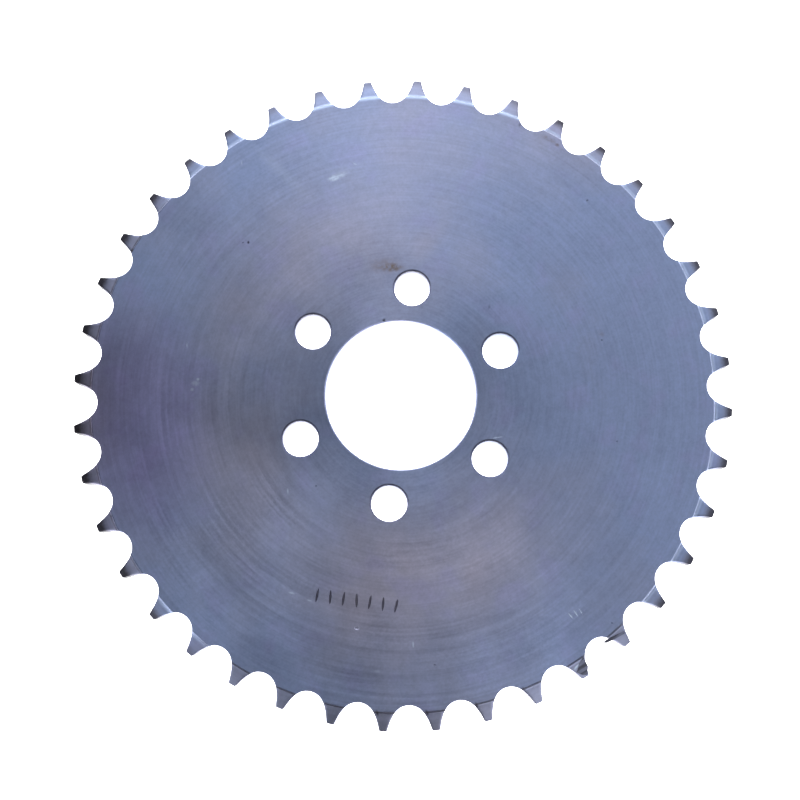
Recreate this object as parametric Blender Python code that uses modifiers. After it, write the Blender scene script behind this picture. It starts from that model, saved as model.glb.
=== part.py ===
"""Rear sprocket of a motorcycle: one flat steel plate that carries a 428 roller chain.

The plate lies flat. Its spin axis is Z, its back face, which sits on the wheel hub, is at Z = 0,
and +X runs through the middle of a tooth and through the middle of a bolt hole.
Units are metres. Run with: blender --background --python part.py
"""
import math

import bmesh
import bpy

# Chain
CHAIN_PITCH = 0.0127
ROLLER_DIAMETER = 0.00851

# Teeth
TOOTH_COUNT = 40
OUTSIDE_DIAMETER = 0.1661
TIP_CORNER_RADIUS = 0.0003

# Plate
PLATE_THICKNESS = 0.007

# Side relief: outside the shoulder both sides of the rim are turned down in a long curve,
# so that the chain's side plates run on easily
SHOULDER_RADIUS = 0.0782
SHOULDER_STEP = 0.00025
SIDE_CURVE_RADIUS = 0.0127

# Hub interface
BORE_DIAMETER = 0.038
BOLT_HOLE_DIAMETER = 0.009
BOLT_HOLE_COUNT = 6
BOLT_CIRCLE_DIAMETER = 0.055
EDGE_BREAK = 0.0003

# Facets on each round stretch
SEAT_STEPS = 4
WORKING_STEPS = 2
TOPPING_STEPS = 1
CORNER_STEPS = 2
SIDE_CURVE_STEPS = 4
RELIEF_STEPS_PER_TOOTH = 4
BORE_STEPS = 96
BOLT_HOLE_STEPS = 32

# How far a cutter runs past the plate, and the distances under which Blender merges or dissolves
OVERRUN = 0.002
MERGE_DISTANCE = 0.00001
FLAT_TOLERANCE = math.radians(0.05)
SHARP_ANGLE = math.radians(25)

STEEL_COLOUR = (0.36, 0.38, 0.44, 1.0)
STEEL_ROUGHNESS = 0.38

# Tooth form of the roller chain standard, which follows from the roller and the number of teeth.
# Each angle is measured from the tangent of the pitch circle at the seat.
FORM_CLEARANCE = 0.0000381
PITCH_RADIUS = CHAIN_PITCH / 2 / math.sin(math.pi / TOOTH_COUNT)
SEAT_RADIUS = 0.5025 * ROLLER_DIAMETER + FORM_CLEARANCE
WORKING_RADIUS = 1.3025 * ROLLER_DIAMETER + FORM_CLEARANCE
SEAT_ANGLE = math.radians(35 + 60 / TOOTH_COUNT)
WORKING_TURN = math.radians(18 - 56 / TOOTH_COUNT)
TOPPING_TURN = math.radians(17 - 64 / TOOTH_COUNT)
FLANK_ANGLE = SEAT_ANGLE - WORKING_TURN
FLAT_LENGTH = ROLLER_DIAMETER * (1.4 * math.sin(TOPPING_TURN) - 0.8 * math.sin(WORKING_TURN))
TOPPING_FACTOR = 0.8 * math.cos(WORKING_TURN) + 1.4 * math.cos(TOPPING_TURN) - 1.3025
TOPPING_RADIUS = ROLLER_DIAMETER * TOPPING_FACTOR - FORM_CLEARANCE


def clear_scene():
    for old in list(bpy.data.objects):
        bpy.data.objects.remove(old, do_unlink=True)


def make_collection(name):
    collection = bpy.data.collections.new(name)
    bpy.context.scene.collection.children.link(collection)
    return collection


def make_steel():
    """Bare turned steel."""
    material = bpy.data.materials.new("turned_steel")
    material.use_nodes = True
    shader = material.node_tree.nodes["Principled BSDF"]
    shader.inputs["Base Color"].default_value = STEEL_COLOUR
    shader.inputs["Metallic"].default_value = 1.0
    shader.inputs["Roughness"].default_value = STEEL_ROUGHNESS
    return material


def polar(centre, radius, angle):
    return (centre[0] + radius * math.cos(angle), centre[1] + radius * math.sin(angle))


def arc(centre, radius, start, end, steps):
    """Points on an arc about centre, from the angle start to the angle end, both ends included."""
    return [polar(centre, radius, start + (end - start) * step / steps) for step in range(steps + 1)]


def corner_centre_angle(topping_centre):
    """Direction from the topping arc's centre to the centre of the tooth's rounded corner.

    The corner touches the topping arc and the tip circle from inside, so its centre lies one
    corner radius inside each of them.
    """
    reach = math.hypot(*topping_centre)
    bearing = math.atan2(topping_centre[1], topping_centre[0])
    inner_topping = TOPPING_RADIUS - TIP_CORNER_RADIUS
    inner_tip = OUTSIDE_DIAMETER / 2 - TIP_CORNER_RADIUS
    cosine = (inner_tip**2 - reach**2 - inner_topping**2) / (2 * reach * inner_topping)
    return bearing + math.acos(cosine)


def gap_side():
    """One side of the gap between two teeth, from its bottom up to the tip circle.

    The spin axis is at the origin, the gap's middle line is x = 0, and this side is at x > 0.
    The seat holds the roller, the working arc guides it in and out, a short flat follows, and
    the topping arc and the rounded corner lead over to the tip.
    """
    seat_centre = (0.0, PITCH_RADIUS)
    seat = arc(seat_centre, SEAT_RADIUS, -math.pi / 2, -SEAT_ANGLE, SEAT_STEPS)

    working_centre = polar(seat_centre, WORKING_RADIUS - SEAT_RADIUS, math.pi - SEAT_ANGLE)
    working = arc(working_centre, WORKING_RADIUS, -SEAT_ANGLE, -FLANK_ANGLE, WORKING_STEPS)

    flat_end = polar(working[-1], FLAT_LENGTH, math.pi / 2 - FLANK_ANGLE)
    topping_centre = polar(flat_end, TOPPING_RADIUS, -FLANK_ANGLE)
    topping_end = corner_centre_angle(topping_centre)
    topping = arc(topping_centre, TOPPING_RADIUS, math.pi - FLANK_ANGLE, topping_end, TOPPING_STEPS)

    corner_centre = polar(topping_centre, TOPPING_RADIUS - TIP_CORNER_RADIUS, topping_end)
    tip_direction = math.atan2(corner_centre[1], corner_centre[0])
    corner = arc(corner_centre, TIP_CORNER_RADIUS, topping_end, tip_direction, CORNER_STEPS)
    return seat + working[1:] + topping + corner[1:]


def tooth_outline():
    """The whole toothed outline, with the middle of a tooth on +X."""
    right = gap_side()
    left = [(-x, y) for x, y in reversed(right)]
    gap = left + right[1:]
    points = []
    for index in range(TOOTH_COUNT):
        turn = (index + 0.5) * math.tau / TOOTH_COUNT - math.pi / 2
        cosine = math.cos(turn)
        sine = math.sin(turn)
        for x, y in reversed(gap):
            points.append((x * cosine - y * sine, x * sine + y * cosine))
    return points


def new_object(name, data, collection):
    obj = bpy.data.objects.new(name, data)
    collection.objects.link(obj)
    return obj


def toothed_plate(name, collection):
    """The flat plate at its full thickness, toothed all round, with no holes yet."""
    outline = bpy.data.curves.new(name + "_outline", "CURVE")
    outline.dimensions = "2D"
    outline.fill_mode = "BOTH"
    outline.extrude = PLATE_THICKNESS / 2
    points = tooth_outline()
    spline = outline.splines.new("POLY")
    spline.points.add(len(points) - 1)
    for spline_point, (x, y) in zip(spline.points, points):
        spline_point.co = (x, y, 0.0, 1.0)
    spline.use_cyclic_u = True
    guide = new_object(name + "_outline", outline, collection)
    guide.location.z = PLATE_THICKNESS / 2
    bpy.context.view_layer.update()

    depsgraph = bpy.context.evaluated_depsgraph_get()
    mesh = bpy.data.meshes.new_from_object(guide.evaluated_get(depsgraph))
    mesh.transform(guide.matrix_world)
    mesh.name = name
    bpy.data.objects.remove(guide, do_unlink=True)
    weld(mesh)
    return new_object(name, mesh, collection)


def weld(mesh):
    """Join the curve's loose caps to its walls."""
    work = bmesh.new()
    work.from_mesh(mesh)
    bmesh.ops.remove_doubles(work, verts=work.verts, dist=MERGE_DISTANCE)
    bmesh.ops.recalc_face_normals(work, faces=work.faces)
    work.to_mesh(mesh)
    work.free()


def turned_cutter(name, profile, steps, closed, collection):
    """A cutter turned about its own Z from a profile of (radius, height) points.

    The profile runs down its outer side. It is closed for a ring, and open, with both ends on
    the axis, for a solid.
    """
    mesh = bpy.data.meshes.new(name)
    edges = [(index, index + 1) for index in range(len(profile) - 1)]
    if closed:
        edges.append((len(profile) - 1, 0))
    mesh.from_pydata([(radius, 0.0, height) for radius, height in profile], edges, [])
    cutter = new_object(name, mesh, collection)
    cutter.hide_render = True
    cutter.display_type = "WIRE"
    screw = cutter.modifiers.new("turn", "SCREW")
    screw.steps = steps
    screw.render_steps = steps
    screw.use_merge_vertices = True
    screw.merge_threshold = MERGE_DISTANCE
    return cutter


def relief_cutter(name, collection):
    """The ring that the lathe takes off the front side of the teeth, outside the shoulder."""
    start_radius = SHOULDER_RADIUS + SHOULDER_STEP
    start_height = PLATE_THICKNESS - SHOULDER_STEP
    outer_radius = OUTSIDE_DIAMETER / 2 + OVERRUN
    sweep = math.asin((outer_radius - start_radius) / SIDE_CURVE_RADIUS)
    curve_centre = (start_radius, start_height - SIDE_CURVE_RADIUS)
    top = PLATE_THICKNESS + OVERRUN
    profile = [(SHOULDER_RADIUS - OVERRUN, top), (outer_radius, top)]
    profile += arc(curve_centre, SIDE_CURVE_RADIUS, math.pi / 2 - sweep, math.pi / 2, SIDE_CURVE_STEPS)
    return turned_cutter(name, profile, TOOTH_COUNT * RELIEF_STEPS_PER_TOOTH, True, collection)


def hole_cutter(name, diameter, steps, collection):
    """A drill for a through hole that also breaks the hole's edge on both faces."""
    radius = diameter / 2
    mouth = radius + EDGE_BREAK + OVERRUN
    top = PLATE_THICKNESS + OVERRUN
    profile = [
        (0.0, top),
        (mouth, top),
        (radius, PLATE_THICKNESS - EDGE_BREAK),
        (radius, EDGE_BREAK),
        (mouth, -OVERRUN),
        (0.0, -OVERRUN),
    ]
    return turned_cutter(name, profile, steps, False, collection)


def make_cutters(collection):
    """The cutters for the side relief, the bore and the bolt holes, each in its place."""
    front_relief = relief_cutter("front_relief", collection)
    back_relief = relief_cutter("back_relief", collection)
    back_relief.rotation_euler.x = math.pi
    back_relief.location.z = PLATE_THICKNESS
    cutters = [front_relief, back_relief]
    cutters.append(hole_cutter("bore_drill", BORE_DIAMETER, BORE_STEPS, collection))
    for index in range(BOLT_HOLE_COUNT):
        drill = hole_cutter(f"bolt_drill_{index + 1}", BOLT_HOLE_DIAMETER, BOLT_HOLE_STEPS, collection)
        x, y = polar((0.0, 0.0), BOLT_CIRCLE_DIAMETER / 2, index * math.tau / BOLT_HOLE_COUNT)
        drill.location = (x, y, 0.0)
        cutters.append(drill)
    return cutters


def cut(plate, cutters):
    """Take every cutter out of the plate, and keep the result as the plate's own mesh."""
    for cutter in cutters:
        boolean = plate.modifiers.new(cutter.name, "BOOLEAN")
        boolean.operation = "DIFFERENCE"
        boolean.solver = "EXACT"
        boolean.object = cutter
    bpy.context.view_layer.update()
    depsgraph = bpy.context.evaluated_depsgraph_get()
    uncut = plate.data
    plate.data = bpy.data.meshes.new_from_object(plate.evaluated_get(depsgraph))
    plate.data.name = plate.name
    plate.modifiers.clear()
    bpy.data.meshes.remove(uncut)


def clean_faces(mesh):
    """Dissolve the edges that the cuts left lying in flat faces."""
    work = bmesh.new()
    work.from_mesh(mesh)
    bmesh.ops.dissolve_limit(work, angle_limit=FLAT_TOLERANCE, verts=work.verts, edges=work.edges)
    work.to_mesh(mesh)
    work.free()


def make_sprocket_plate(parts, cutters):
    plate = toothed_plate("sprocket_plate", parts)
    cut(plate, make_cutters(cutters))
    clean_faces(plate.data)
    plate.data.shade_smooth()
    plate.data.set_sharp_from_angle(angle=SHARP_ANGLE)
    plate.data.materials.clear()
    plate.data.materials.append(make_steel())
    return plate


def main():
    clear_scene()
    parts = make_collection("rear_sprocket")
    cutters = make_collection("cutters")
    make_sprocket_plate(parts, cutters)


main()
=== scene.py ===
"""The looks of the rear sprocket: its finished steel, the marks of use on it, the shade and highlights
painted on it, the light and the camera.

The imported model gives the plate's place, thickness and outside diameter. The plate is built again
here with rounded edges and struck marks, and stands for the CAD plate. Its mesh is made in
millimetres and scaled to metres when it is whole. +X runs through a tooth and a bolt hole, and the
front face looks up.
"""
import math

import bmesh
import bpy
from mathutils import Euler, Matrix, Vector


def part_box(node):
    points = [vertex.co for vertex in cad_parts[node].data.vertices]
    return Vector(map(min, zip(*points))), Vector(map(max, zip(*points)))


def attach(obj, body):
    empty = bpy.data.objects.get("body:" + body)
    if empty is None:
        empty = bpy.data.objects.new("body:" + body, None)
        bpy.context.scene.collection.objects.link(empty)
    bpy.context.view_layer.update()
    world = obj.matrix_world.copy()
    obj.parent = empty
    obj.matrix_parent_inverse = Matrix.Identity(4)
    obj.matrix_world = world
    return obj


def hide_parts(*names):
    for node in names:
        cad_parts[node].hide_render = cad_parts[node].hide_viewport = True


MM = 0.001
NODE = "sprocket_plate"

# Chain and teeth, as in the CAD model
CHAIN_PITCH = 12.7
ROLLER_DIAMETER = 8.51
TOOTH_COUNT = 40
TOOTH_TURN = math.tau / TOOTH_COUNT
TIP_CORNER_RADIUS = 0.3

# Side relief of the teeth
SHOULDER_RADIUS = 78.2
SHOULDER_STEP = 0.12
FILLET_RUN = 0.9
FILLET_END_SLOPE = 0.04
SIDE_CURVE_RADIUS = 13.5
RELIEF_STEPS = (0.0, 0.12, 0.3, 0.5, 0.75, 1.02)

# Hub interface
BORE_RADIUS = 19.0
BOLT_HOLE_RADIUS = 4.5
BOLT_HOLE_COUNT = 6
BOLT_CIRCLE_RADIUS = 27.5
HOLE_EDGE_BREAK = 0.3

# Rounding of the toothed edge, and the angle in degrees from which an edge looks sharp
EDGE_ROUND = 0.12
EDGE_STEPS = 3
SHARP_ANGLE = 22.0

# Struck strokes: a row of short plain cuts, each across the row and leaning a little
STROKE_ROW_START = Vector((-39.2, -37.4))
STROKE_ROW_END = Vector((-22.4, -47.6))
STROKE_LEANS = (-5.0, 4.0, -2.0, 6.0, -4.0, 2.0, -6.0)
STROKE_HALF_LENGTH = 1.75
STROKE_HALF_WIDTH = 0.3
STROKE_DEPTH = 0.22

# Every struck or scratched hollow: how wide it is and how deep, as parts of the whole
MARK_PROFILE = ((1.0, 0.0), (0.72, 0.62), (0.4, 0.92), (0.12, 1.0))

# Small pits: place, half length, half width, turn in degrees, depth
PITS = (
    ((-19.6, 51.9), 0.45, 0.3, 60.0, 0.14),
    ((-20.9, 52.4), 0.28, 0.2, 10.0, 0.08),
    ((64.0, 26.5), 0.35, 0.25, 20.0, 0.12),
    ((-19.6, -64.5), 0.35, 0.25, -38.0, 0.12),
    ((51.9, -7.9), 0.3, 0.22, -40.0, 0.1),
    ((44.4, -32.7), 0.26, 0.2, -30.0, 0.08),
    ((24.1, -72.7), 0.3, 0.22, -39.0, 0.1),
    ((-28.7, -12.5), 0.3, 0.22, -69.0, 0.08),
    ((3.93, 19.34), 0.4, 0.2, -12.0, 0.14),
    ((-33.5, -48.7), 0.7, 0.4, -30.0, 0.12),
)

# Scratches deep enough to have a shape: place, half length, half width, turn, depth
SCRATCHES = (
    ((15.7, -67.0), 1.0, 0.16, -74.0, 0.05),
    ((17.1, -66.9), 1.1, 0.16, -80.0, 0.05),
    ((18.4, -67.0), 0.9, 0.16, -84.0, 0.05),
    ((13.7, 59.8), 0.8, 0.14, -52.0, 0.05),
    ((-12.8, 72.1), 0.7, 0.13, -113.0, 0.04),
    ((-22.4, -57.8), 0.8, 0.14, -111.0, 0.04),
    ((17.6, -19.7), 1.5, 0.13, -14.0, 0.04),
    ((-35.6, -10.8), 0.7, 0.13, -109.0, 0.04),
    ((-44.3, 33.6), 0.7, 0.12, -108.0, 0.04),
)

# Patches of colour: place, half length, half width, turn in degrees, strength
PURPLE_PATCHES = (
    ((-27.0, -49.0), 35.0, 110.0, 16.0, 0.37),
    ((30.0, 59.0), 120.0, 47.0, 39.0, 0.28),
    ((-5.0, -42.0), 50.0, 28.0, -8.0, 0.56),
    ((-46.0, -8.0), 28.0, 22.0, 80.0, 0.22),
    ((-76.0, 29.0), 26.0, 18.0, 67.0, 0.8),
    ((-13.0, 45.0), 41.0, 26.0, 8.0, 0.25),
    ((73.0, 48.0), 22.0, 60.0, 33.0, 0.45),
    ((-44.0, 6.0), 22.0, 20.0, 90.0, 0.18),
    ((-32.0, 34.0), 20.0, 16.0, 50.0, 0.25),
    ((35.0, -8.0), 34.0, 14.0, 80.0, -0.28),
    ((64.0, -24.0), 60.0, 34.0, 70.0, -0.22),
    ((23.3, 33.9), 9.0, 5.0, 30.0, 0.2),
)
LIGHT_MARKS = (
    ((8.3, 58.6), 3.8, 1.2, -2.0, 0.6),
    ((7.0, 58.4), 1.6, 0.8, -20.0, 0.4),
    ((-46.2, 23.7), 1.5, 1.0, -30.0, 0.4),
    ((13.7, 59.8), 1.0, 0.3, -52.0, 0.5),
    ((-12.8, 72.1), 0.9, 0.25, -113.0, 0.4),
    ((15.7, -67.0), 1.2, 0.25, -74.0, 0.85),
    ((17.1, -66.9), 1.3, 0.25, -80.0, 0.85),
    ((18.4, -67.0), 1.1, 0.25, -84.0, 0.85),
    ((-22.4, -57.8), 1.0, 0.4, -111.0, 0.45),
    ((17.6, -19.7), 1.8, 0.3, -14.0, 0.6),
    ((-35.6, -10.8), 0.9, 0.35, -109.0, 0.5),
    ((-44.3, 33.6), 0.8, 0.3, -108.0, 0.4),
    ((-33.1, -60.2), 1.2, 0.4, -28.0, 0.3),
    ((-44.75, -34.3), 1.1, 0.35, -36.0, 0.55),
    ((-41.4, -37.8), 0.9, 0.3, -37.0, 0.5),
    ((-4.6, 66.0), 14.0, 2.0, -68.0, 0.12),
    ((11.8, -78.75), 1.4, 0.35, 27.0, 0.9),
    ((-47.6, 22.6), 0.7, 0.6, -30.0, 0.6),
    ((-45.2, 24.4), 0.6, 0.5, -30.0, 0.6),
)
RUST_MARKS = (
    ((11.7, 30.6), 3.8, 1.5, -27.0, 0.42),
    ((9.8, 32.0), 5.5, 2.8, -21.0, 0.27),
    ((52.4, -6.3), 1.5, 0.9, -61.0, 0.16),
    ((61.9, 45.3), 3.2, 0.8, 127.0, 0.3),
    ((63.2, 43.0), 0.9, 0.6, 127.0, 0.45),
)
DARK_MARKS = (
    ((-19.6, 51.9), 0.55, 0.4, 60.0, 0.85),
    ((-20.9, 52.4), 0.4, 0.3, 10.0, 0.5),
    ((64.0, 26.5), 0.45, 0.35, 20.0, 0.6),
    ((-19.6, -64.5), 0.5, 0.35, -38.0, 0.4),
    ((51.9, -7.9), 0.45, 0.3, -40.0, 0.5),
    ((44.4, -32.7), 0.4, 0.3, -30.0, 0.4),
    ((24.1, -72.7), 0.45, 0.35, -39.0, 0.5),
    ((-28.7, -12.5), 0.45, 0.35, -69.0, 0.45),
    ((29.6, 11.4), 1.0, 0.4, 50.0, 0.25),
    ((1.1, 35.1), 0.7, 0.4, -24.0, 0.2),
    ((3.86, 19.1), 0.6, 0.5, -12.0, 0.9),
    ((-47.8, 62.2), 0.8, 0.55, 40.0, 0.95),
    ((-37.1, -69.3), 1.0, 0.5, 80.0, 0.7),
    ((-26.0, -74.1), 1.0, 0.5, 90.0, 0.7),
    ((-14.2, -77.2), 1.0, 0.5, 98.0, 0.7),
    ((-2.2, -78.4), 0.9, 0.45, 107.0, 0.6),
    ((56.8, 51.9), 0.9, 0.5, 42.0, 0.45),
)

# The row of struck strokes and three stretches of the rim: place, half length, half width, turn
STROKE_PATCH = ((-30.8, -42.5), 12.5, 3.4, -31.3)
LOWER_TEETH = ((-26.8, -73.8), 74.0, 42.0, -20.0)
UPPER_TEETH = ((32.0, 76.0), 55.0, 20.0, -23.0)
LEFT_TEETH = ((-71.0, 31.5), 72.0, 36.0, 66.0)

# A violet patch and how strong it is, and darker patches in rows like those above
VIOLET_PATCH = ((-63.0, 21.0), 40.0, 25.0, 72.0)
VIOLET_STRENGTH = 0.65
SHADE_PATCHES = (
    ((-64.5, 34.3), 26.0, 13.0, 62.0, 0.22),
    ((-66.0, 4.0), 26.0, 16.0, 90.0, 0.1),
    ((7.0, 32.0), 12.0, 12.0, 0.0, 0.1),
    ((-36.0, 2.0), 14.0, 12.0, 0.0, 0.12),
    ((-33.0, 66.0), 16.0, 10.0, -30.0, 0.1),
    ((-57.0, -47.0), 15.0, 10.0, 130.0, 0.2),
)

# Colours of the steel, of the marks on it and of a painted highlight
BLUE_STEEL = (0.35, 0.4, 0.6, 1.0)
PURPLE_STEEL = (0.53, 0.445, 0.5, 1.0)
VIOLET_STEEL = (0.44, 0.385, 0.67, 1.0)
NEUTRAL_STEEL = (0.45, 0.395, 0.46, 1.0)
# Painted highlight on the band beyond the teeth's shoulder
PAINTED_SHEEN_STEEL = (0.68, 0.76, 0.98, 1.0)
LIGHT_MARK = (0.72, 0.78, 0.9, 1.0)
RUST = (0.28, 0.2, 0.15, 1.0)
# Dark pits, burrs and strokes, and painted shade at the bolt holes' edges
DARK_MARK_AND_SHADE = (0.05, 0.045, 0.05, 1.0)

# Noise drawn out along the turning rings: grains per millimetre across and along them, detail
RING_NOISE = {
    "fine": (1.9, 1.2, 1.0),
    "broad": (0.7, 0.8, 1.0),
    "strokes": (1.5, 7.0, 2.0),
}

# Even noise: where its pattern starts, grains per millimetre, detail
EVEN_NOISE = {
    "grain": ((0.0, 0.0, 0.0), 1.6, 3.0),
    "mottle": ((0.0, 0.0, 0.0), 1.1, 3.0),
    "blotches": ((0.0, 0.0, 0.0), 0.55, 3.0),
    "tint": ((15.0, 60.0, 0.0), 0.11, 2.0),
    "drift": ((40.0, 90.0, 0.0), 0.07, 4.0),
    "clouds": ((0.0, 0.0, 0.0), 0.035, 2.0),
}

# What each noise does, as Graph.spread reads it: low and high noise, and the value at each
NOISE_SHADES = {
    "drift": (0.3, 0.7, 0.95, 1.05),
    "blotches": (0.3, 0.7, 0.965, 1.035),
    "fine": (0.25, 0.75, 0.96, 1.04),
    "broad": (0.25, 0.75, 0.98, 1.02),
    "strokes": (0.25, 0.75, 0.965, 1.035),
    "grain": (0.25, 0.75, 0.95, 1.05),
}
CLOUD_PURPLE = (0.35, 0.65, -0.06, 0.1)
TINT_PURPLE = (0.35, 0.65, 0.04, -0.03)
TINT_VIOLET = (0.52, 0.72, 0.0, 0.22)
PATCHY = (0.35, 0.6)
TORN_SHADE = (0.35, 0.65, 0.45, 0.9)
DRIFT_ROUGHNESS = (0.3, 0.7, 0.38, 0.42)
FINE_ROUGHNESS = (0.25, 0.75, -0.02, 0.02)

# Where on the plate something shows, as Graph.spread reads it: two places, and the value at each
WALL_BY_UPRIGHT = (0.2, 0.6, 1.0, 0.0)
NEAR_BY_DEPTH = (0.4, 0.8, 1.0, 0.0)
FRONT_BY_DEPTH = (1.0, 2.0, 1.0, 0.0)
HOLLOW_BY_DEPTH = (0.02, 0.16)
SHADE_BY_RADIUS = (20.0, 44.0, 0.85, 0.99)
CUT_WALL_BY_RADIUS = (60.0, 61.0, 0.0, 0.5)
NEUTRAL_BY_RADIUS = (78.3, 78.5, 0.0, 0.45)
# Painted shade on the teeth's ends and along the shoulder, a painted highlight band, and painted shade at the
# bolt holes' edges
TIP_SHADE_BY_RADIUS = (80.0, 82.6)
SHADE_LINE_BESIDE = (0.14, 0.36, 0.75, 0.0)
DULL_SHADE_LINE_BESIDE = (0.22, 0.45, 0.6, 0.0)
SHEEN_BAND_BESIDE = (0.25, 0.8, 0.45, 0.0)
HOLE_SHADE_BESIDE = (0.2, 0.42, 0.75, 0.0)
HOLE_SHADE_BY_SIDE = (-1.5, 3.0)

# Painted shade line along the shoulder and painted highlight band, in millimetres from the spin axis,
# and the band's shift inward and its strength on the upper teeth
SHADE_LINE_RADIUS = 78.4
SHEEN_BAND_RADIUS = 78.7
UPPER_SHEEN_SHIFT = 0.4
UPPER_SHEEN_STRENGTH = 1.9

# Painted shade on the ends of the teeth: raggedness and shift in millimetres, strengths, and how much less of
# it some have
TIP_SHADE_RAGGEDNESS = 1.2
TIP_SHADE_LEFT_SHIFT = 0.6
TIP_SHADE_STRENGTH = 0.72
TIP_SHADE_LEFT_STRENGTH = 0.86
LOWER_TIP_SHADE_CUT = 0.8
UPPER_TIP_SHADE_CUT = 0.55

# How hard the edges of the patches are: the part of the oval that has the full strength
SOFT_CORE = 0.2
PURPLE_CORE = 0.0
TEETH_CORE = 0.7
LOWER_TEETH_CORE = 0.75
STROKE_CORE = 0.85

# Painted shade on the bolt holes' edges, as dark crescents: the way they face, and how far out of the hole's
# wall they lie
HOLE_SHADE_SIDE = (0.4, 0.9, 0.0)
HOLE_SHADE_OFFSET = 0.12

# Other strengths on the steel
LIGHT_MARK_LEAST = 0.5
RUST_LEAST = 0.3
RUST_ROUGHNESS = 0.3
HOLLOW_STRENGTH = 0.75
ANISOTROPY = 0.8
ANISOTROPY_TURN = 0.25
STROKE_RELIEF = 0.5
BUMP_STRENGTH = 0.4
BUMP_HEIGHT = 0.005 * MM

# White floor, which glows: its half width in metres and how it looks
FLOOR_SIZE = 4.0
FLOOR_COLOUR = (0.9, 0.9, 0.9, 1.0)
FLOOR_ROUGHNESS = 0.9
FLOOR_GLOW = 3.4
GLOW_COLOUR = (1.0, 1.0, 1.0, 1.0)

# World: how bright it is at the horizon and overhead, and between which heights that changes
WORLD_COLOUR = (0.85, 0.9, 1.0, 1.0)
HORIZON_GLOW = 1.3
WORLD_GLOW = 0.02
HORIZON_RISE = (0.1, 0.3)

# Soft lights of one colour: name, azimuth and tilt in degrees, distance and width in metres, and
# power in watts
LIGHT_COLOUR = (0.9, 1.0, 1.1)
LIGHTS = (
    ("right_panel", 340.0, 30.0, 1.0, 0.6, 0.98),
    ("right_low_panel", 20.0, 45.0, 1.0, 0.6, 0.76),
    ("right_high_panel", 40.0, 30.0, 1.0, 0.6, 0.59),
    ("key_panel", 60.0, 45.0, 1.0, 0.6, 1.05),
    ("key_low_panel", 80.0, 45.0, 1.0, 0.6, 0.61),
    ("top_panel", 90.0, 45.0, 1.0, 1.1, 1.82),
    ("left_low_panel", 180.0, 60.0, 1.0, 0.6, 0.63),
    ("left_panel", 200.0, 45.0, 1.0, 0.6, 0.95),
    ("lower_panel", 280.0, 45.0, 1.0, 0.6, 1.62),
)

# Burrs left by the cutter: the mesh layer that marks them, how far one rises as a part of its
# thickness, its least depth below the face, then the outline and thickness of a folded flake and
# of a sliver in a tooth gap
TORN_STEEL = "torn"
BURR_RISE = 0.6
BURR_COVER = 0.02
BURRS = (
    (((14.35, -77.3), (14.5, -79.8), (13.5, -81.6), (12.5, -81.3), (11.25, -80.0), (12.1, -79.2),
      (12.7, -78.3)), 0.16),
    (((26.1, -75.6), (26.1, -76.2), (22.8, -76.5), (20.9, -76.5), (20.2, -76.1), (20.8, -75.8),
      (22.5, -75.65)), 0.16),
)

# Facets
MARK_STEPS = 20
SEAT_STEPS = 10
WORKING_STEPS = 4
FLAT_STEPS = 2
TOPPING_STEPS = 3
CORNER_STEPS = 4
TOOTH_ACROSS_STEPS = 6
HALVINGS = 40
BORE_STEPS = 180
BOLT_HOLE_STEPS = 64

# Tooth form of the roller chain standard
FORM_CLEARANCE = 0.0381
PITCH_RADIUS = CHAIN_PITCH / 2 / math.sin(math.pi / TOOTH_COUNT)
SEAT_RADIUS = 0.5025 * ROLLER_DIAMETER + FORM_CLEARANCE
WORKING_RADIUS = 1.3025 * ROLLER_DIAMETER + FORM_CLEARANCE
SEAT_ANGLE = math.radians(35 + 60 / TOOTH_COUNT)
WORKING_TURN = math.radians(18 - 56 / TOOTH_COUNT)
TOPPING_TURN = math.radians(17 - 64 / TOOTH_COUNT)
FLANK_ANGLE = SEAT_ANGLE - WORKING_TURN
FLAT_LENGTH = ROLLER_DIAMETER * (1.4 * math.sin(TOPPING_TURN) - 0.8 * math.sin(WORKING_TURN))
TOPPING_FACTOR = 0.8 * math.cos(WORKING_TURN) + 1.4 * math.cos(TOPPING_TURN) - 1.3025
TOPPING_RADIUS = ROLLER_DIAMETER * TOPPING_FACTOR - FORM_CLEARANCE

# Camera: near the plate and a little off its axis; place in millimetres, turn in degrees
CAMERA_PLACE = Vector((-23.15, -50.2, 357.4))
CAMERA_TURN = (8.453, 1.484, -23.768)
CAMERA_LENS = 63.5
CAMERA_SENSOR = 36.0
CAMERA_SHIFT = (0.049, 0.009)


def polar(radius, angle):
    return Vector((radius * math.cos(angle), radius * math.sin(angle)))


def oval(centre, half_length, half_width, turn):
    """Points round an oval whose length is turned this many degrees from +X."""
    along = polar(1.0, math.radians(turn))
    across = Vector((-along.y, along.x))
    points = []
    for step in range(MARK_STEPS):
        angle = math.tau * step / MARK_STEPS
        points.append(
            centre + half_length * math.cos(angle) * along + half_width * math.sin(angle) * across
        )
    return points


# --- The tooth's outline -------------------------------------------------------------------


def round_stretch(centre, radius, start, end, bulge):
    """A round stretch of the tooth's side. bulge is 1 where the steel is inside the arc, else -1."""

    def place(fraction):
        direction = polar(1.0, start + (end - start) * fraction)
        return centre + radius * direction, bulge * direction

    return place


def flat_stretch(start, end, normal):
    def place(fraction):
        return start.lerp(end, fraction), normal

    return place


def corner_angle(topping_centre, tip_radius):
    """Direction from the topping arc's centre to the centre of the tooth's rounded corner."""
    reach = topping_centre.length
    inner_topping = TOPPING_RADIUS - TIP_CORNER_RADIUS
    inner_tip = tip_radius - TIP_CORNER_RADIUS
    cosine = (inner_tip**2 - reach**2 - inner_topping**2) / (2 * reach * inner_topping)
    return math.atan2(topping_centre.y, topping_centre.x) + math.acos(cosine)


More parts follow.
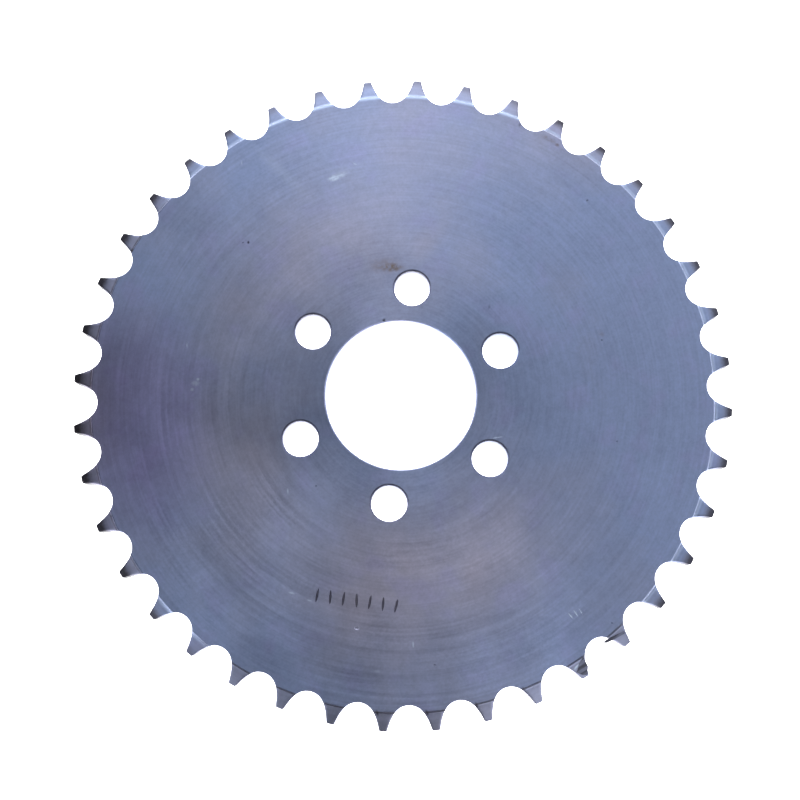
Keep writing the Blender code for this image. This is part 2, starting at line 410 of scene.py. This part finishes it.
def side_stretches(tip_radius):
    """The stretches of one side of a tooth gap with their steps, from its bottom to the tip circle.

    The gap's middle line is x = 0, and this side is at x > 0.
    """
    seat_centre = Vector((0.0, PITCH_RADIUS))
    working_centre = seat_centre + polar(WORKING_RADIUS - SEAT_RADIUS, math.pi - SEAT_ANGLE)
    flat_start = working_centre + polar(WORKING_RADIUS, -FLANK_ANGLE)
    flat_end = flat_start + polar(FLAT_LENGTH, math.pi / 2 - FLANK_ANGLE)
    flat_normal = polar(1.0, math.pi - FLANK_ANGLE)
    topping_centre = flat_end - TOPPING_RADIUS * flat_normal
    topping_end = corner_angle(topping_centre, tip_radius)
    corner_centre = topping_centre + polar(TOPPING_RADIUS - TIP_CORNER_RADIUS, topping_end)
    corner_end = math.atan2(corner_centre.y, corner_centre.x)
    return [
        (round_stretch(seat_centre, SEAT_RADIUS, -math.pi / 2, -SEAT_ANGLE, -1), SEAT_STEPS),
        (round_stretch(working_centre, WORKING_RADIUS, -SEAT_ANGLE, -FLANK_ANGLE, -1), WORKING_STEPS),
        (flat_stretch(flat_start, flat_end, flat_normal), FLAT_STEPS),
        (round_stretch(topping_centre, TOPPING_RADIUS, math.pi - FLANK_ANGLE, topping_end, 1), TOPPING_STEPS),
        (round_stretch(corner_centre, TIP_CORNER_RADIUS, topping_end, corner_end, 1), CORNER_STEPS),
    ]


def face_radius(place, fraction):
    """Distance from the spin axis to the flat face's edge beside a point of the outline."""
    point, normal = place(fraction)
    return (point - EDGE_ROUND * normal).length


def fraction_at(place, radius):
    """Where on a stretch its face edge reaches a radius, by halving."""
    low, high = 0.0, 1.0
    for _ in range(HALVINGS):
        middle = (low + high) / 2
        if face_radius(place, middle) < radius:
            low = middle
        else:
            high = middle
    return low


def side_columns(tip_radius):
    """(point, normal) up one side of a gap, with points exactly on both ends of the shoulder."""
    columns = []
    for place, steps in side_stretches(tip_radius):
        fractions = [step / steps for step in range(steps)]
        for step in RELIEF_STEPS:
            radius = SHOULDER_RADIUS + step
            if face_radius(place, 0.0) < radius < face_radius(place, 1.0):
                fractions.append(fraction_at(place, radius))
        columns += [place(fraction) for fraction in sorted(fractions)]
    columns.append(place(1.0))
    return columns


def tooth_columns(tip_radius):
    """(point, normal) round one tooth, clockwise, in the tooth's frame with its middle on +Y.

    The first point is the bottom of the gap on its left, and the bottom of the next gap is left
    to the next tooth. The second value is how many points one side has.
    """
    to_tooth = Matrix.Rotation(TOOTH_TURN / 2, 2)
    left = [(to_tooth @ point, to_tooth @ normal) for point, normal in side_columns(tip_radius)]
    flip = Matrix(((-1.0, 0.0), (0.0, 1.0)))
    right = [(flip @ point, flip @ normal) for point, normal in reversed(left)]
    land_start = math.atan2(left[-1][0].y, left[-1][0].x)
    land_end = math.pi - land_start
    land = []
    for step in range(1, TOOTH_ACROSS_STEPS):
        direction = polar(1.0, land_start + (land_end - land_start) * step / TOOTH_ACROSS_STEPS)
        land.append((tip_radius * direction, direction))
    return left + land + right[:-1], len(left)


def relief_depth(radius):
    """How far the side of the rim is turned down at a radius."""
    beyond = radius - SHOULDER_RADIUS
    if beyond <= 0:
        return 0.0
    if beyond <= SHOULDER_STEP:
        return beyond
    run = beyond - SHOULDER_STEP
    curve = SIDE_CURVE_RADIUS - math.sqrt(SIDE_CURVE_RADIUS**2 - run**2)
    left = 1 - min(run / FILLET_RUN, 1.0)
    fillet = (1 - FILLET_END_SLOPE) * FILLET_RUN / 3 * (1 - left**3)
    return SHOULDER_STEP + fillet + curve


# --- The plate's mesh ----------------------------------------------------------------------


class PlateMesh:
    """The plate's surface, built loop by loop in millimetres."""

    def __init__(self, thickness, tip_radius):
        self.thickness = thickness
        self.tip_radius = tip_radius
        self.work = bmesh.new()
        self.torn = self.work.verts.layers.float.new(TORN_STEEL)
        self.flat_loops = {1: [], -1: []}

    def height(self, side, depth):
        """Height of a point that lies a depth below the front (side 1) or the back (side -1)."""
        if side > 0:
            return self.thickness - depth
        return depth

    def loop(self, points, side, depths):
        """New vertices at flat points, each its own depth below a face."""
        return [
            self.work.verts.new((point.x, point.y, self.height(side, depth)))
            for point, depth in zip(points, depths)
        ]

    def bridge(self, first, second):
        """Quads between two closed loops of as many vertices."""
        count = len(first)
        for index in range(count):
            after = (index + 1) % count
            self.work.faces.new((first[index], first[after], second[after], second[index]))

    def sink(self, side, loops):
        """A recess in a face: loops of (points, depth) from its rim to its bottom."""
        rings = [self.loop(points, side, [depth] * len(points)) for points, depth in loops]
        for upper, lower in zip(rings, rings[1:]):
            self.bridge(upper, lower)
        self.work.faces.new(rings[-1])
        self.flat_loops[side].append(rings[0])

    def mark(self, centre, half_length, half_width, turn, depth):
        """A small rounded hollow in the front face."""
        loops = []
        for narrowing, part in MARK_PROFILE:
            shortening = half_width * (1 - narrowing)
            points = oval(centre, half_length - shortening, half_width * narrowing, turn)
            loops.append((points, depth * part))
        self.sink(1, loops)

    def burr(self, outline, thickness):
        """A thin flake of torn steel that lies on the relieved side of a tooth."""
        points = [Vector(point) for point in outline]
        tops = [max(relief_depth(point.length) - thickness * BURR_RISE, BURR_COVER) for point in points]
        upper = self.loop(points, 1, tops)
        lower = self.loop(points, 1, [top + thickness for top in tops])
        for vertex in upper + lower:
            vertex[self.torn] = 1.0
        self.bridge(upper, lower)
        self.work.faces.new(upper)
        self.work.faces.new(lower)

    def hole(self, centre, radius, steps):
        """A through hole with its edge broken on both faces."""
        rings = []
        for side, depths in ((1, (0.0, HOLE_EDGE_BREAK)), (-1, (HOLE_EDGE_BREAK, 0.0))):
            for depth in depths:
                wide = radius + HOLE_EDGE_BREAK - depth
                points = [centre + polar(wide, index * math.tau / steps) for index in range(steps)]
                rings.append(self.loop(points, side, [depth] * steps))
        for upper, lower in zip(rings, rings[1:]):
            self.bridge(upper, lower)
        self.flat_loops[1].append(rings[0])
        self.flat_loops[-1].append(rings[-1])

    def rim(self):
        """The toothed edge, its rounding on both faces and the relieved sides of the teeth."""
        columns, side_count = tooth_columns(self.tip_radius)
        turns = [Matrix.Rotation(index * -TOOTH_TURN - math.pi / 2, 2) for index in range(TOOTH_COUNT)]
        around = [(turn @ point, turn @ normal) for turn in turns for point, normal in columns]
        walls = {}
        for side in (1, -1):
            rings = []
            for step in range(EDGE_STEPS):
                slope = math.pi / 2 * step / (EDGE_STEPS - 1)
                inward = EDGE_ROUND * (1 - math.cos(slope))
                down = EDGE_ROUND * (1 - math.sin(slope))
                points = [point - inward * normal for point, normal in around]
                depths = [
                    down + relief_depth((point - EDGE_ROUND * normal).length)
                    for point, normal in around
                ]
                rings.append(self.loop(points, side, depths))
            for outer, inner in zip(rings, rings[1:]):
                self.bridge(outer, inner)
            walls[side] = rings[0]
            self.teeth_side(rings[-1], len(columns), side_count, side)
        self.bridge(walls[1], walls[-1])

    def teeth_side(self, edge, per_tooth, side_count, side):
        """One relieved side of every tooth, as a grid, and the flat face's outer loop."""
        outer = []
        for tooth in range(TOOTH_COUNT):
            ring = edge[tooth * per_tooth : (tooth + 1) * per_tooth]
            ring.append(edge[(tooth + 1) * per_tooth % len(edge)])
            left = ring[:side_count]
            right = ring[-side_count:][::-1]
            shoulder = self.shoulder_index(left)
            rows = []
            for index in range(shoulder, side_count - 1):
                rows.append([left[index], *self.across(left[index], right[index]), right[index]])
            rows.append(ring[side_count - 1 : len(ring) - side_count + 1])
            for lower, upper in zip(rows, rows[1:]):
                for a, b, c, d in zip(lower, lower[1:], upper[1:], upper):
                    self.work.faces.new((a, b, c, d))
            outer += left[:shoulder] + rows[0] + right[1:shoulder][::-1]
        self.flat_loops[side].append(outer)

    def shoulder_index(self, left):
        """The first point up a tooth's side that lies on the shoulder circle."""
        radii = [vertex.co.xy.length for vertex in left]
        return min(range(len(radii)), key=lambda index: abs(radii[index] - SHOULDER_RADIUS))

    def across(self, start, end):
        """Vertices between two of a tooth's edges, on the circle through both."""
        radius = start.co.xy.length
        first = math.atan2(start.co.y, start.co.x)
        turn = math.remainder(math.atan2(end.co.y, end.co.x) - first, math.tau)
        made = []
        for step in range(1, TOOTH_ACROSS_STEPS):
            point = polar(radius, first + turn * step / TOOTH_ACROSS_STEPS)
            made.append(self.work.verts.new((point.x, point.y, start.co.z)))
        return made

    def fill_flats(self):
        """The two flat faces, between all their loops."""
        for side, loops in self.flat_loops.items():
            edges = []
            for loop in loops:
                for first, second in zip(loop, loop[1:] + loop[:1]):
                    edge = self.work.edges.get((first, second))
                    edges.append(edge or self.work.edges.new((first, second)))
            bmesh.ops.triangle_fill(self.work, use_beauty=True, edges=edges, normal=(0.0, 0.0, side))

    def finish(self, name):
        """The mesh, in metres."""
        bmesh.ops.recalc_face_normals(self.work, faces=self.work.faces)
        mesh = bpy.data.meshes.new(name)
        self.work.to_mesh(mesh)
        self.work.free()
        mesh.transform(Matrix.Scale(MM, 4))
        mesh.shade_smooth()
        mesh.set_sharp_from_angle(angle=math.radians(SHARP_ANGLE))
        return mesh


def build_plate(thickness, tip_radius):
    plate = PlateMesh(thickness, tip_radius)
    plate.rim()
    plate.hole(Vector((0.0, 0.0)), BORE_RADIUS, BORE_STEPS)
    for index in range(BOLT_HOLE_COUNT):
        centre = polar(BOLT_CIRCLE_RADIUS, index * math.tau / BOLT_HOLE_COUNT)
        plate.hole(centre, BOLT_HOLE_RADIUS, BOLT_HOLE_STEPS)
    row = STROKE_ROW_END - STROKE_ROW_START
    upright = math.degrees(math.atan2(row.y, row.x)) + 90.0
    for index, lean in enumerate(STROKE_LEANS):
        centre = STROKE_ROW_START + row * index / (len(STROKE_LEANS) - 1)
        plate.mark(centre, STROKE_HALF_LENGTH, STROKE_HALF_WIDTH, upright + lean, STROKE_DEPTH)
    for place, half_length, half_width, turn, depth in PITS + SCRATCHES:
        plate.mark(Vector(place), half_length, half_width, turn, depth)
    plate.fill_flats()
    for outline, flake_thickness in BURRS:
        plate.burr(outline, flake_thickness)
    piece = bpy.data.objects.new("sprocket_body", plate.finish("sprocket_body"))
    bpy.context.scene.collection.objects.link(piece)
    return piece


# --- Steel ---------------------------------------------------------------------------------


class Graph:
    """A node material and short ways to add nodes to it."""

    def __init__(self, name):
        self.material = bpy.data.materials.new(name)
        self.material.use_nodes = True
        self.nodes = self.material.node_tree.nodes
        self.links = self.material.node_tree.links
        self.shader = self.nodes["Principled BSDF"]

    def put(self, socket, value):
        """Link a value to a socket if it comes from a node, or else set it there."""
        if isinstance(value, bpy.types.NodeSocket):
            self.links.new(value, socket)
        else:
            socket.default_value = value

    def math(self, operation, *values):
        node = self.nodes.new("ShaderNodeMath")
        node.operation = operation
        for socket, value in zip(node.inputs, values):
            self.put(socket, value)
        return node.outputs[0]

    def vector(self, operation, *values, output="Vector"):
        node = self.nodes.new("ShaderNodeVectorMath")
        node.operation = operation
        for socket, value in zip(node.inputs, values):
            self.put(socket, value)
        return node.outputs[output]

    def noise(self, vector, scale, detail):
        """Noise from 0 to 1 that lies round a half."""
        node = self.nodes.new("ShaderNodeTexNoise")
        self.put(node.inputs["Vector"], vector)
        node.inputs["Scale"].default_value = scale
        node.inputs["Detail"].default_value = detail
        return node.outputs["Fac"]

    def spread(self, value, low, high, to_low=0.0, to_high=1.0):
        """A value between two bounds, smoothed and clamped to two others."""
        node = self.nodes.new("ShaderNodeMapRange")
        node.interpolation_type = "SMOOTHSTEP"
        for socket, number in zip(node.inputs, (value, low, high, to_low, to_high)):
            self.put(socket, number)
        return node.outputs[0]

    def product(self, *values):
        """Several values multiplied."""
        total = values[0]
        for value in values[1:]:
            total = self.math("MULTIPLY", total, value)
        return total

    def rest(self, value):
        """What a value leaves of 1."""
        return self.math("SUBTRACT", 1.0, value)

    def beside(self, value, middle, bounds):
        """A spread by how far a value is from a middle one."""
        return self.spread(self.math("ABSOLUTE", self.math("SUBTRACT", value, middle)), *bounds)

    def colour(self, factor, first, second):
        """A mix of two colours."""
        node = self.nodes.new("ShaderNodeMix")
        node.data_type = "RGBA"
        self.put(node.inputs["Factor"], factor)
        self.put(node.inputs["A"], first)
        self.put(node.inputs["B"], second)
        return node.outputs["Result"]


class Turned:
    """Where a point of the plate lies, in millimetres, and the noise and patches laid out from it."""

    def __init__(self, graph, thickness):
        self.graph = graph
        coordinates = graph.nodes.new("ShaderNodeTexCoord")
        self.place = graph.vector("MULTIPLY", coordinates.outputs["Object"], (1 / MM, 1 / MM, 1 / MM))
        upright = graph.vector("DOT_PRODUCT", coordinates.outputs["Normal"], (0.0, 0.0, 1.0), output="Value")
        self.wall = graph.spread(graph.math("ABSOLUTE", upright), *WALL_BY_UPRIGHT)
        self.flat = graph.vector("MULTIPLY", self.place, (1.0, 1.0, 0.0))
        self.radius = graph.vector("LENGTH", self.flat, output="Value")
        self.heading = graph.vector("NORMALIZE", self.flat)
        split = graph.nodes.new("ShaderNodeSeparateXYZ")
        graph.links.new(self.place, split.inputs[0])
        height = split.outputs["Z"]
        self.depth = graph.math("SUBTRACT", thickness, height)
        self.near_face = graph.spread(graph.math("MINIMUM", self.depth, height), *NEAR_BY_DEPTH)
        self.front = graph.spread(self.depth, *FRONT_BY_DEPTH)
        self.noise = {name: self.rings(*row) for name, row in RING_NOISE.items()}
        for name, (start, scale, detail) in EVEN_NOISE.items():
            self.noise[name] = graph.noise(graph.vector("ADD", self.place, start), scale, detail)

    def rings(self, across, along, detail):
        """Noise drawn out along the turning rings: grains per millimetre across them, and along."""
        graph = self.graph
        join = graph.nodes.new("ShaderNodeCombineXYZ")
        graph.put(join.inputs["Z"], graph.product(self.radius, across))
        turned = graph.vector("MULTIPLY", self.heading, (along, along, 0.0))
        return graph.noise(graph.vector("ADD", turned, join.outputs[0]), 1.0, detail)

    def patch(self, place, half_length, half_width, turn, core=SOFT_CORE):
        """1 inside an oval patch, falling softly to 0 at its edge."""
        graph = self.graph
        mapping = graph.nodes.new("ShaderNodeMapping")
        mapping.vector_type = "TEXTURE"
        graph.links.new(self.flat, mapping.inputs["Vector"])
        mapping.inputs["Location"].default_value = (*place, 0.0)
        mapping.inputs["Rotation"].default_value = (0.0, 0.0, math.radians(turn))
        mapping.inputs["Scale"].default_value = (half_length, half_width, 1.0)
        distance = graph.vector("LENGTH", mapping.outputs[0], output="Value")
        return graph.spread(distance, core, 1.0, 1.0, 0.0)

    def patches(self, rows, core=SOFT_CORE):
        """The sum of several patches, each row ending with its own strength."""
        graph = self.graph
        total = None
        for *row, strength in rows:
            mask = graph.product(self.patch(*row, core), strength)
            total = mask if total is None else graph.math("ADD", total, mask)
        return total

    def hole_painted_shade(self):
        """Painted shade: a dark crescent along one side of each bolt hole's edge."""
        graph = self.graph
        total = None
        for index in range(BOLT_HOLE_COUNT):
            centre = polar(BOLT_CIRCLE_RADIUS, index * math.tau / BOLT_HOLE_COUNT)
            offset = graph.vector("SUBTRACT", self.flat, (centre.x, centre.y, 0.0))
            distance = graph.vector("LENGTH", offset, output="Value")
            edge = graph.beside(distance, BOLT_HOLE_RADIUS + HOLE_SHADE_OFFSET, HOLE_SHADE_BESIDE)
            side = graph.vector("DOT_PRODUCT", offset, HOLE_SHADE_SIDE, output="Value")
            mask = graph.product(edge, graph.spread(side, *HOLE_SHADE_BY_SIDE))
            total = mask if total is None else graph.math("ADD", total, mask)
        return total


def steel_colour(graph, turned):
    """Bluish steel with purple, violet and greyer patches where it has been handled."""
    clouds = graph.spread(turned.noise["clouds"], *CLOUD_PURPLE)
    purple = graph.math("ADD", clouds, turned.patches(PURPLE_PATCHES, PURPLE_CORE))
    purple = graph.math("ADD", purple, graph.spread(turned.noise["tint"], *TINT_PURPLE))
    violet = graph.product(turned.patch(*VIOLET_PATCH), VIOLET_STRENGTH)
    violet = graph.math("ADD", violet, graph.spread(turned.noise["tint"], *TINT_VIOLET))
    return graph.colour(violet, graph.colour(purple, BLUE_STEEL, PURPLE_STEEL), VIOLET_STEEL)


def steel_shade(graph, turned):
    """How light the steel is: grain and turning marks, darker patches and darker cut walls."""
    noises = [graph.spread(turned.noise[name], *bounds) for name, bounds in NOISE_SHADES.items()]
    cut_wall = graph.product(turned.wall, graph.spread(turned.radius, *CUT_WALL_BY_RADIUS))
    return graph.product(
        *noises,
        graph.spread(turned.radius, *SHADE_BY_RADIUS),
        graph.rest(turned.patches(SHADE_PATCHES)),
        graph.rest(cut_wall),
    )


def teeth_shade_and_highlight(graph, turned, base, shade):
    """Painted shade on the ends of the teeth and in lines along the shoulder, and a painted highlight band
    beyond it, round the rim.
    """
    lower = turned.patch(*LOWER_TEETH, LOWER_TEETH_CORE)
    upper = turned.patch(*UPPER_TEETH, TEETH_CORE)
    left = turned.patch(*LEFT_TEETH, TEETH_CORE)

    # Painted shade on the ends of the teeth, ragged, darkest on the left and nearly none below
    ragged = graph.product(graph.math("SUBTRACT", turned.noise["grain"], 0.5), TIP_SHADE_RAGGEDNESS)
    reach = graph.math("ADD", graph.math("ADD", turned.radius, ragged), graph.product(left, TIP_SHADE_LEFT_SHIFT))
    strength = graph.spread(left, 0.0, 1.0, TIP_SHADE_STRENGTH, TIP_SHADE_LEFT_STRENGTH)
    unshaded = graph.math(
        "MAXIMUM", graph.product(lower, LOWER_TIP_SHADE_CUT), graph.product(upper, UPPER_TIP_SHADE_CUT)
    )
    shaded_ends = graph.product(graph.spread(reach, *TIP_SHADE_BY_RADIUS), strength, graph.rest(unshaded))

    # Painted shade: a dark line along the shoulder of the lower teeth and a dull one on the left
    shaded_line = graph.product(graph.beside(turned.radius, SHADE_LINE_RADIUS, SHADE_LINE_BESIDE), lower)
    dull_shaded_line = graph.product(graph.beside(turned.radius, SHADE_LINE_RADIUS, DULL_SHADE_LINE_BESIDE), left)
    line = graph.product(graph.math("MAXIMUM", shaded_line, dull_shaded_line), turned.near_face)
    neutral = graph.math("MAXIMUM", lower, left)
    neutral = graph.product(neutral, graph.spread(turned.radius, *NEUTRAL_BY_RADIUS))
    base = graph.colour(graph.math("MAXIMUM", neutral, shaded_ends), base, NEUTRAL_STEEL)
    shade = graph.product(shade, graph.rest(graph.math("MAXIMUM", shaded_ends, line)))
    tone = graph.vector("MULTIPLY", base, shade)

    # A bluish painted highlight band everywhere else, brightest on the upper teeth
    shifted = graph.math("ADD", turned.radius, graph.product(upper, UPPER_SHEEN_SHIFT))
    plain = graph.math("MINIMUM", graph.math("ADD", lower, left), 1.0)
    sheen_band = graph.product(
        graph.beside(shifted, SHEEN_BAND_RADIUS, SHEEN_BAND_BESIDE),
        graph.rest(plain),
        graph.spread(upper, 0.0, 1.0, 1.0, UPPER_SHEEN_STRENGTH),
        turned.near_face,
    )
    return graph.colour(sheen_band, tone, PAINTED_SHEEN_STEEL)


def light_marks(graph, turned):
    """How strong the light smudges and scratches are."""
    mottle = graph.spread(turned.noise["mottle"], *PATCHY)
    streak = graph.spread(turned.noise["fine"], *PATCHY)
    broken = graph.math("MAXIMUM", graph.math("MAXIMUM", mottle, streak), LIGHT_MARK_LEAST)
    return graph.product(turned.patches(LIGHT_MARKS), broken)


def rust_marks(graph, turned):
    """How strong the rust is."""
    mottle = graph.spread(turned.noise["mottle"], *PATCHY)
    return graph.product(turned.patches(RUST_MARKS), graph.math("ADD", mottle, RUST_LEAST))


def dark_marks_and_hole_shade(graph, turned):
    """How dark the pits, the burrs and the struck strokes are, with painted shade at the holes' edges."""
    dark = graph.math("ADD", turned.patches(DARK_MARKS), turned.hole_painted_shade())
    torn = graph.nodes.new("ShaderNodeAttribute")
    torn.attribute_name = TORN_STEEL
    torn_shade = graph.spread(turned.noise["strokes"], *TORN_SHADE)
    dark = graph.math("MAXIMUM", dark, graph.product(torn.outputs["Fac"], torn_shade))
    struck = graph.product(
        turned.patch(*STROKE_PATCH, STROKE_CORE),
        graph.spread(turned.depth, *HOLLOW_BY_DEPTH),
        HOLLOW_STRENGTH,
    )
    return graph.math("MAXIMUM", dark, struck)


def make_steel(thickness):
    """The plate's material: bare steel turned in rings, with its wear and marks of use, and painted shade and
    a painted highlight on the teeth and at the bolt holes.
    """
    graph = Graph("turned_steel")
    shader = graph.shader
    turned = Turned(graph, thickness)
    tone = teeth_shade_and_highlight(graph, turned, steel_colour(graph, turned), steel_shade(graph, turned))
    rust = rust_marks(graph, turned)
    for strength, colour in (
        (light_marks(graph, turned), LIGHT_MARK),
        (rust, RUST),
        (dark_marks_and_hole_shade(graph, turned), DARK_MARK_AND_SHADE),
    ):
        tone = graph.colour(graph.product(strength, turned.front), tone, colour)
    graph.links.new(tone, shader.inputs["Base Color"])

    roughness = graph.spread(turned.noise["drift"], *DRIFT_ROUGHNESS)
    roughness = graph.math("ADD", roughness, graph.spread(turned.noise["fine"], *FINE_ROUGHNESS))
    roughness = graph.math("ADD", roughness, graph.product(rust, RUST_ROUGHNESS))
    graph.links.new(roughness, shader.inputs["Roughness"])
    shader.inputs["Metallic"].default_value = 1.0
    shader.inputs["Anisotropic"].default_value = ANISOTROPY
    shader.inputs["Anisotropic Rotation"].default_value = ANISOTROPY_TURN
    tangent = graph.nodes.new("ShaderNodeTangent")
    tangent.direction_type = "RADIAL"
    tangent.axis = "Z"
    graph.links.new(tangent.outputs["Tangent"], shader.inputs["Tangent"])

    strokes = graph.product(turned.noise["strokes"], STROKE_RELIEF)
    bump = graph.nodes.new("ShaderNodeBump")
    bump.inputs["Strength"].default_value = BUMP_STRENGTH
    bump.inputs["Distance"].default_value = BUMP_HEIGHT
    graph.links.new(graph.math("ADD", turned.noise["fine"], strokes), bump.inputs["Height"])
    graph.links.new(bump.outputs["Normal"], shader.inputs["Normal"])
    return graph.material


# --- Studio --------------------------------------------------------------------------------


def make_floor():
    mesh = bpy.data.meshes.new("floor")
    work = bmesh.new()
    bmesh.ops.create_grid(work, x_segments=1, y_segments=1, size=FLOOR_SIZE)
    work.to_mesh(mesh)
    work.free()
    floor = bpy.data.objects.new("floor", mesh)
    bpy.context.scene.collection.objects.link(floor)
    graph = Graph("floor_white")
    graph.shader.inputs["Base Color"].default_value = FLOOR_COLOUR
    graph.shader.inputs["Roughness"].default_value = FLOOR_ROUGHNESS
    graph.shader.inputs["Emission Color"].default_value = GLOW_COLOUR
    graph.shader.inputs["Emission Strength"].default_value = FLOOR_GLOW
    mesh.materials.append(graph.material)


def make_light(name, azimuth, tilt, distance, width, power):
    """A round soft light that faces the plate's middle; tilt is measured from straight above."""
    data = bpy.data.lights.new(name, "AREA")
    data.shape = "DISK"
    data.size = width
    data.energy = power
    data.color = LIGHT_COLOUR
    light = bpy.data.objects.new(name, data)
    turn = math.radians(azimuth)
    lean = math.radians(tilt)
    away = Vector((math.sin(lean) * math.cos(turn), math.sin(lean) * math.sin(turn), math.cos(lean)))
    light.location = distance * away
    light.rotation_euler = away.to_track_quat("Z", "Y").to_euler()
    bpy.context.scene.collection.objects.link(light)


def make_camera():
    data = bpy.data.cameras.new("camera")
    data.sensor_width = CAMERA_SENSOR
    data.lens = CAMERA_LENS
    data.shift_x, data.shift_y = CAMERA_SHIFT
    camera = bpy.data.objects.new("camera", data)
    camera.location = CAMERA_PLACE * MM
    camera.rotation_euler = Euler([math.radians(turn) for turn in CAMERA_TURN])
    bpy.context.scene.collection.objects.link(camera)
    bpy.context.scene.camera = camera


def make_world():
    """Dark above, so that the soft lights show on the steel, and pale where it meets the floor."""
    world = bpy.data.worlds.new("studio")
    world.use_nodes = True
    nodes = world.node_tree.nodes
    links = world.node_tree.links
    background = nodes["Background"]
    background.inputs["Color"].default_value = WORLD_COLOUR
    split = nodes.new("ShaderNodeSeparateXYZ")
    links.new(nodes.new("ShaderNodeTexCoord").outputs["Generated"], split.inputs[0])
    rise = nodes.new("ShaderNodeMapRange")
    rise.interpolation_type = "SMOOTHSTEP"
    for socket, number in zip(rise.inputs[1:], (*HORIZON_RISE, HORIZON_GLOW, WORLD_GLOW)):
        socket.default_value = number
    links.new(split.outputs["Z"], rise.inputs["Value"])
    links.new(rise.outputs[0], background.inputs["Strength"])
    bpy.context.scene.world = world


def main():
    low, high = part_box(NODE)
    thickness = (high[2] - low[2]) / MM
    tip_radius = (high[0] - low[0]) / 2 / MM
    make_camera()
    make_world()
    make_floor()
    for row in LIGHTS:
        make_light(*row)
    body = build_plate(thickness, tip_radius)
    body.data.materials.append(make_steel(thickness))
    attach(body, "root")
    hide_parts(NODE)
    bpy.context.scene.view_settings.view_transform = "Standard"


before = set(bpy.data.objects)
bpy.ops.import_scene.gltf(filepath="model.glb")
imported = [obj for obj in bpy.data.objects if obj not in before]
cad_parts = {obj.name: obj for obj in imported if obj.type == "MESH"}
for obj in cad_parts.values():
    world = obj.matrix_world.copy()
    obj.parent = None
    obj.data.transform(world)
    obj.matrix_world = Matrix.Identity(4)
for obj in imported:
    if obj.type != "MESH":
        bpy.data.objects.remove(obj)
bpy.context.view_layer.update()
main()
